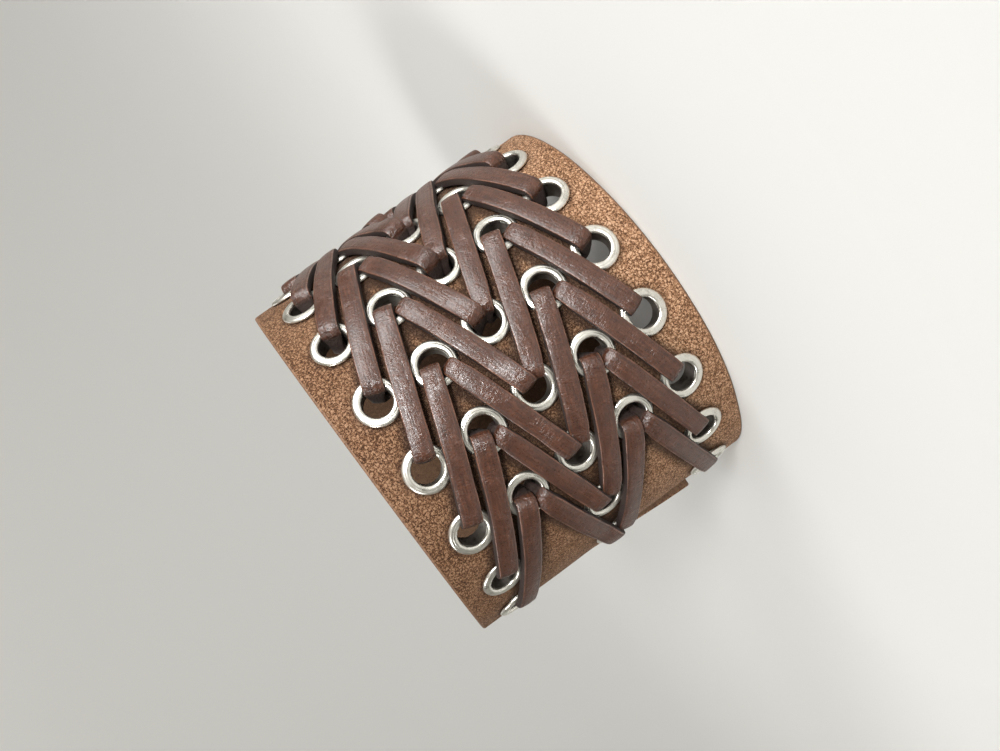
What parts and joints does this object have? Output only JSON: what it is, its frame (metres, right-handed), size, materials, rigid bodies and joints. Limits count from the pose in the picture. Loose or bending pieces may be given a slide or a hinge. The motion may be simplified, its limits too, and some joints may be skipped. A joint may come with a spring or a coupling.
{
  "type": "laced leather cuff bracelet",
  "caption": "Wide leather wrist cuff closed by a snapped tab, with flat laces run in a chevron through rows of metal eyelets.",
  "frame": {"origin": "on the axis of the wrist opening, level with the lower edge that the cuff stands on", "axes": "+Z along the wrist opening, up from the edge that the cuff stands on; the laced face looks along -Y; the tab closes on the -X side towards +Y"},
  "size_m": [0.0645, 0.0634, 0.05],
  "materials": {
    "band_leather": "tan-brown oiled and buffed cowhide with a dark mottled grain",
    "lace_leather": "flat dark brown lace, dyed and lightly glazed",
    "eyelet_nickel": "nickel plated brass, tumbled to a soft satin",
    "snap_nickel": "nickel plated brass, smooth"
  },
  "bodies": {
    "root": {"cuff_band": "band_leather", "eyelet_a1": "eyelet_nickel", "eyelet_a2": "eyelet_nickel", "eyelet_a3": "eyelet_nickel", "eyelet_a4": "eyelet_nickel", "eyelet_a5": "eyelet_nickel", "eyelet_a6": "eyelet_nickel", "eyelet_a7": "eyelet_nickel", "eyelet_a8": "eyelet_nickel", "eyelet_b1": "eyelet_nickel", "eyelet_b2": "eyelet_nickel", "eyelet_b3": "eyelet_nickel", "eyelet_b4": "eyelet_nickel", "eyelet_b5": "eyelet_nickel", "eyelet_b6": "eyelet_nickel", "eyelet_b7": "eyelet_nickel", "eyelet_b8": "eyelet_nickel", "eyelet_c1": "eyelet_nickel", "eyelet_c2": "eyelet_nickel", "eyelet_c3": "eyelet_nickel", "eyelet_c4": "eyelet_nickel", "eyelet_c5": "eyelet_nickel", "eyelet_c6": "eyelet_nickel", "eyelet_c7": "eyelet_nickel", "eyelet_c8": "eyelet_nickel", "eyelet_d1": "eyelet_nickel", "eyelet_d2": "eyelet_nickel", "eyelet_d3": "eyelet_nickel", "eyelet_d4": "eyelet_nickel", "eyelet_d5": "eyelet_nickel", "eyelet_d6": "eyelet_nickel", "eyelet_d7": "eyelet_nickel", "eyelet_d8": "eyelet_nickel", "eyelet_e1": "eyelet_nickel", "eyelet_e2": "eyelet_nickel", "eyelet_e3": "eyelet_nickel", "eyelet_e4": "eyelet_nickel", "eyelet_e5": "eyelet_nickel", "eyelet_e6": "eyelet_nickel", "eyelet_e7": "eyelet_nickel", "eyelet_e8": "eyelet_nickel", "lace_ab": "lace_leather", "lace_bc": "lace_leather", "lace_cd": "lace_leather", "lace_de": "lace_leather", "snap_upper": "snap_nickel", "snap_lower": "snap_nickel"}
  },
  "joints": []
}
